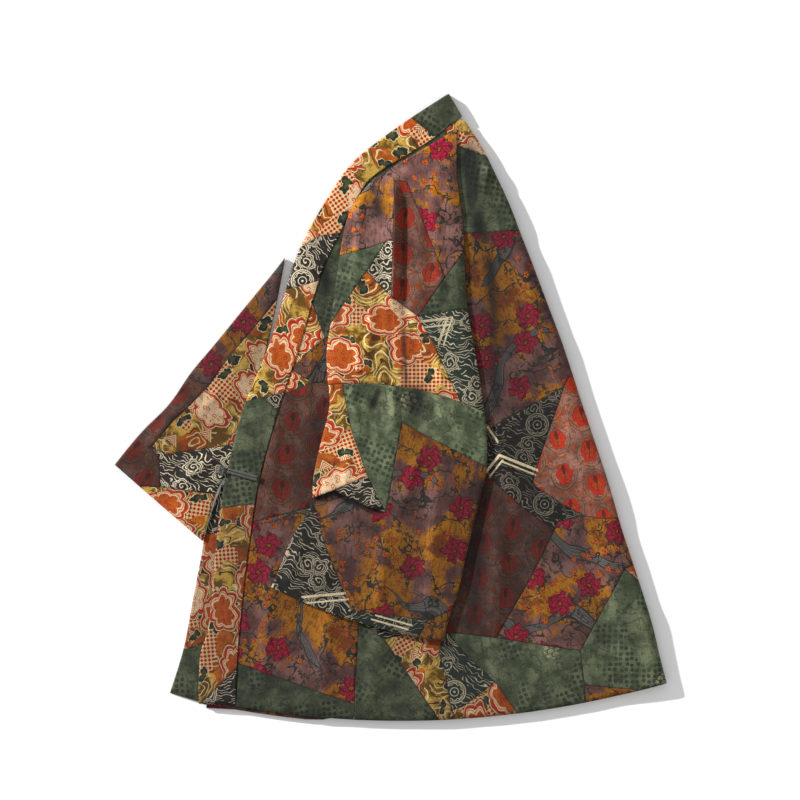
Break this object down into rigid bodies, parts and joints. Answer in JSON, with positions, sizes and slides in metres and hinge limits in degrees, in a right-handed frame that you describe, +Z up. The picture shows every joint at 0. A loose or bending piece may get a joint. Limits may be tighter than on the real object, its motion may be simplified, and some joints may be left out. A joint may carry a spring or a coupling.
{
  "type": "haori-style yukata jacket, folded flat",
  "caption": "Short open-front haori-style yukata jacket in patchwork printed cotton with wide sleeves, a long collar band and a frog fastener, folded in half and laid flat.",
  "frame": {"origin": "middle of the garment's footprint on the surface it lies on", "axes": "+Z up from the surface, hem towards -Y, collar towards +Y, centre-back fold towards +X, front edges towards -X"},
  "size_m": [0.6616, 0.7506, 0.0191],
  "materials": {
    "cotton_green": "matte woven cotton, dark green with darker small leaf figures",
    "cotton_cloud": "matte woven cotton, cream, salmon, red and ochre cloud print",
    "cotton_medallion": "matte woven cotton, dark red brown with red medallions and olive lines",
    "cotton_floral": "matte woven cotton, mauve brown with ochre clouds and red flowers",
    "cord_black": "black braided cord, slightly glossy"
  },
  "bodies": {
    "root": {"hidden_body": "cotton_green", "right_band": "cotton_cloud", "right_sleeve": "cotton_cloud", "left_front": "cotton_medallion", "left_back": "cotton_floral", "left_band": "cotton_cloud", "left_shoulder": "cotton_floral", "left_sleeve": "cotton_floral", "frog_strap": "cord_black", "frog_knot": "cord_black"}
  },
  "joints": []
}
